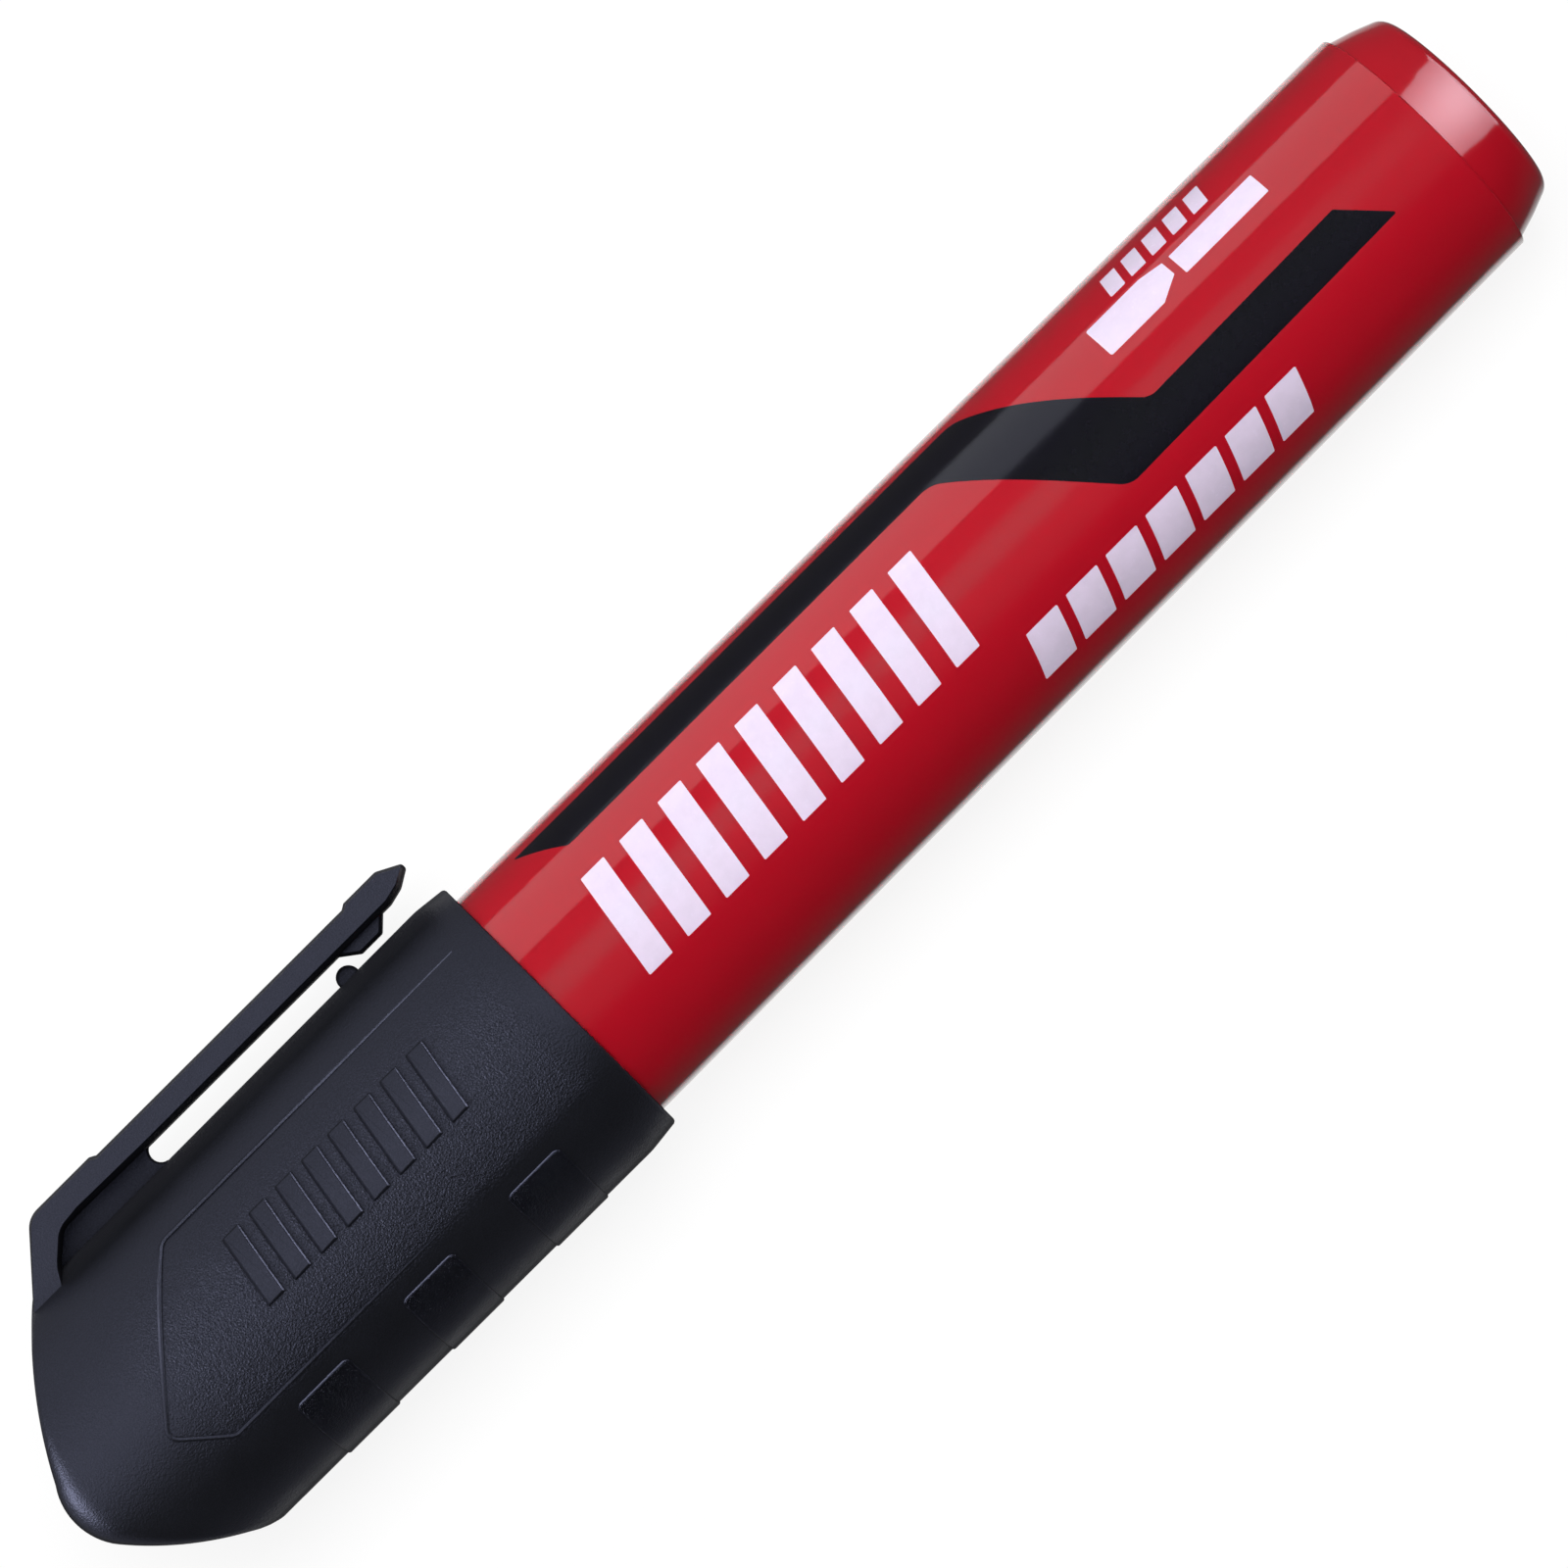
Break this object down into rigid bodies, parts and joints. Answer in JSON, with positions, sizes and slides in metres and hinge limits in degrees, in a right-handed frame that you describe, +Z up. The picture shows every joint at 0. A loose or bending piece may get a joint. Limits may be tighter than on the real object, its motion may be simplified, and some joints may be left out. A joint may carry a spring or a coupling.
{
  "type": "felt tip marker",
  "caption": "Jumbo felt tip marker with a round barrel, a pressed-in end plug, a chisel felt nib and a push-on cap with a slanted nose, a pocket clip and grip pads.",
  "frame": {"origin": "centre of the flat end face of the end plug, on the marker's long axis", "axes": "+X along the barrel towards the cap and the nib, +Y towards the grip pads, opposite the clip, +Z up with the marker lying down"},
  "size_m": [0.1501, 0.0298, 0.0254],
  "materials": {
    "barrel_red": "smooth moulded polypropylene, glossy, with printed bands and bars",
    "cap_black": "satin moulded plastic with fine texture",
    "liner_white": "natural white moulded plastic",
    "nib_felt": "pressed felt, soaked with red ink",
    "reservoir_fibre": "bonded polyester fibre, soaked with red ink",
    "clear_film": "clear film"
  },
  "bodies": {
    "barrel": {"barrel_tube": "barrel_red", "end_plug": "barrel_red", "nib_holder": "barrel_red", "nib": "nib_felt", "ink_reservoir": "reservoir_fibre", "reservoir_wrap": "clear_film", "breather_tube": "liner_white"},
    "liner": {"cap_liner": "liner_white"},
    "cap": {"cap_shell": "cap_black"},
    "clip": {"clip_arm": "cap_black"}
  },
  "joints": [
    {"name": "cap_pull", "type": "slide", "parent": "barrel", "child": "liner", "axis": [1, 0, 0], "range_m": [0, 0.05]},
    {"name": "cap_turn", "type": "hinge", "parent": "liner", "child": "cap", "pos_m": [0.0965, 0, 0], "axis": [1, 0, 0], "continuous": true},
    {"name": "clip_flex", "type": "hinge", "parent": "cap", "child": "clip", "pos_m": [0.128, -0.0156, 0], "axis": [0, 0, 1], "range_deg": [-0.6, 5]}
  ]
}
